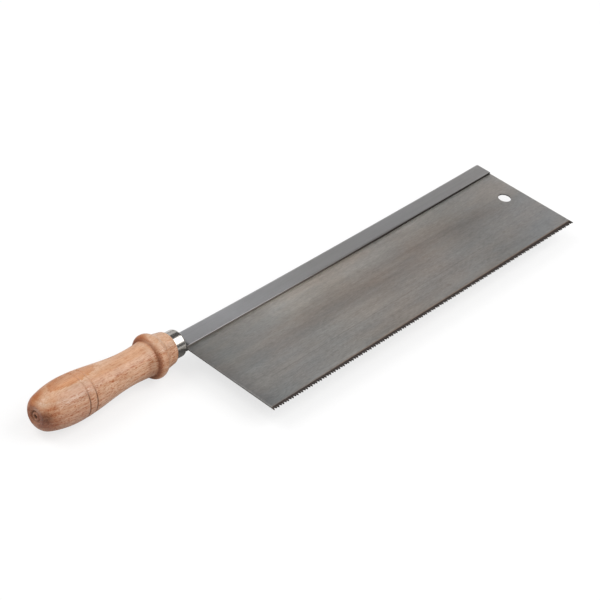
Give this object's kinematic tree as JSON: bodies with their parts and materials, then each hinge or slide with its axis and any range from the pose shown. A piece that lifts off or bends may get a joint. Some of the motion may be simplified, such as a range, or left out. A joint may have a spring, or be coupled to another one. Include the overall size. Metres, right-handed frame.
{
  "type": "back saw",
  "caption": "Fine back saw with a thin toothed blade in a folded steel back, a hang hole at the toe and a straight turned wooden handle with a ferrule.",
  "frame": {"origin": "middle of the saw's bounding box, at the height of the surface that it lies on", "axes": "+X from the handle's butt to the blade's toe, -Y towards the tooth tips, +Z the blade's normal, with the saw lying on its side"},
  "size_m": [0.3416, 0.0788, 0.0235],
  "materials": {
    "handle_wood": "lacquered beech, satin gloss",
    "ferrule_plating": "polished bright plating",
    "tang_steel": "plain mill finish",
    "back_steel": "satin, drawn lengthwise",
    "blade_steel": "satin, ground lengthwise, darker along the hardened teeth"
  },
  "bodies": {
    "root": {"handle": "handle_wood", "ferrule": "ferrule_plating", "tang": "tang_steel", "folded_back": "back_steel", "saw_blade": "blade_steel"}
  },
  "joints": []
}
